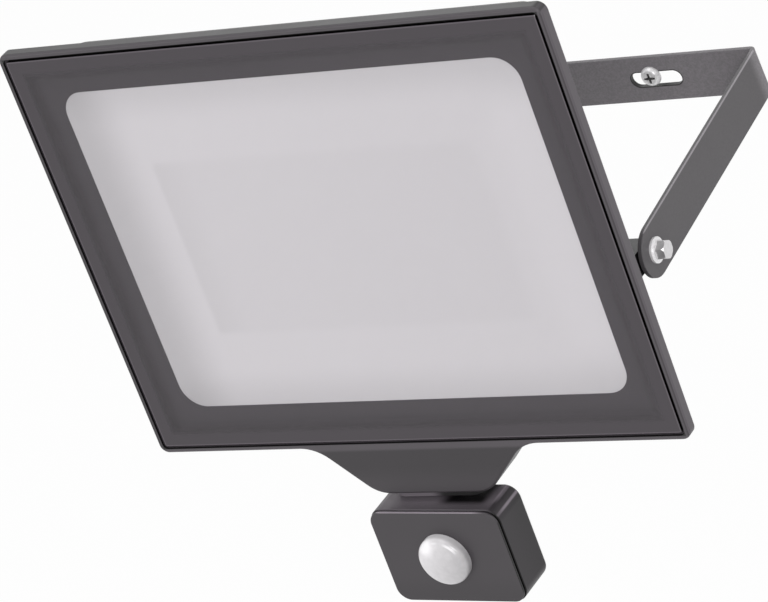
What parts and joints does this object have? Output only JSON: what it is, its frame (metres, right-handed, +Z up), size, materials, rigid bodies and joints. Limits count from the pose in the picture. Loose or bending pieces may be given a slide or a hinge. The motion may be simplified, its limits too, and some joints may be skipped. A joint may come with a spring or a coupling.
{
  "type": "motion sensor floodlight",
  "caption": "Slim dark grey floodlight with a printed glass front, a motion sensor on a swivel under a chin, and a tilting steel bracket screwed to the wall.",
  "frame": {"origin": "midway between the two wall screws, on the wall plane", "axes": "+Y into the wall, +Z up, the lamp faces -Y; +X is to the right for a person who looks at the lamp"},
  "size_m": [0.2886, 0.2039, 0.2976],
  "materials": {
    "housing_coat": "satin powder coat",
    "bracket_coat": "satin",
    "pane": "clear",
    "ink": "gloss",
    "seal_rubber": "matte",
    "diffuser": "satin",
    "white_sheet": "satin",
    "board_white": "satin",
    "led_yellow": "gloss",
    "zinc": "bright",
    "lead_sleeve": "satin",
    "driver_case": "matte",
    "terminal_body": "matte",
    "gland_plastic": "satin",
    "sensor_plastic": "satin",
    "lens": "satin",
    "circuit_board": "satin",
    "detector_can": "bright",
    "relay_blue": "satin",
    "dial_plastic": "satin"
  },
  "bodies": {
    "bracket": {"mounting_bracket": "bracket_coat", "wall_screws": "zinc"},
    "lamp": {"rear_housing": "housing_coat", "front_glass": "pane", "printed_border": "ink", "glass_seal": "seal_rubber", "diffuser_sheet": "diffuser", "reflector_frame": "white_sheet", "led_board": "board_white", "led_chips": "led_yellow", "board_screws": "zinc", "led_leads": "lead_sleeve", "driver_module": "driver_case", "terminal_block": "terminal_body", "driver_cover": "housing_coat", "cover_seal": "seal_rubber", "cover_screws": "zinc", "gland_body": "gland_plastic", "gland_nut": "gland_plastic", "gland_seal": "seal_rubber", "gland_locknut": "gland_plastic", "breather": "gland_plastic", "friction_washers": "gland_plastic", "flat_washers": "zinc", "spring_washers": "zinc", "pivot_bolts": "zinc", "sensor_base": "sensor_plastic", "base_screws": "zinc"},
    "neck": {"swivel_neck": "sensor_plastic", "neck_retainer": "sensor_plastic"},
    "sensor": {"sensor_housing": "sensor_plastic", "sensor_cover": "sensor_plastic", "sensor_seal": "seal_rubber", "sensor_screws": "zinc", "pir_lens": "lens", "lens_ring": "sensor_plastic", "sensor_board": "circuit_board", "pir_element": "detector_can", "relay": "relay_blue", "trimmers": "terminal_body", "hinge_pin": "zinc"},
    "time_dial": {"dial_time": "dial_plastic"},
    "light_dial": {"dial_light": "dial_plastic"},
    "range_dial": {"dial_range": "dial_plastic"}
  },
  "joints": [
    {"name": "lamp_tilt", "type": "hinge", "parent": "bracket", "child": "lamp", "pos_m": [0, -0.136, -0.00195], "axis": [1, 0, 0], "range_deg": [-70, 60]},
    {"name": "sensor_pan", "type": "hinge", "parent": "lamp", "child": "neck", "pos_m": [0, -0.16574, -0.10452], "axis": [0, 0.0985, 0.9951], "range_deg": [-58, 62]},
    {"name": "sensor_tilt", "type": "hinge", "parent": "neck", "child": "sensor", "pos_m": [0, -0.1669, -0.11626], "axis": [0.9996, -0.0278, 0.0027], "range_deg": [-6, 50]},
    {"name": "time_turn", "type": "hinge", "parent": "sensor", "child": "time_dial", "pos_m": [-0.01511, -0.17496, -0.15827], "axis": [0, 0.0985, 0.9951], "range_deg": [-130, 130]},
    {"name": "light_turn", "type": "hinge", "parent": "sensor", "child": "light_dial", "pos_m": [-0.00012, -0.17538, -0.15823], "axis": [0, 0.0985, 0.9951], "range_deg": [-130, 130]},
    {"name": "range_turn", "type": "hinge", "parent": "sensor", "child": "range_dial", "pos_m": [0.01487, -0.17579, -0.15819], "axis": [0, 0.0985, 0.9951], "range_deg": [-130, 130]}
  ]
}
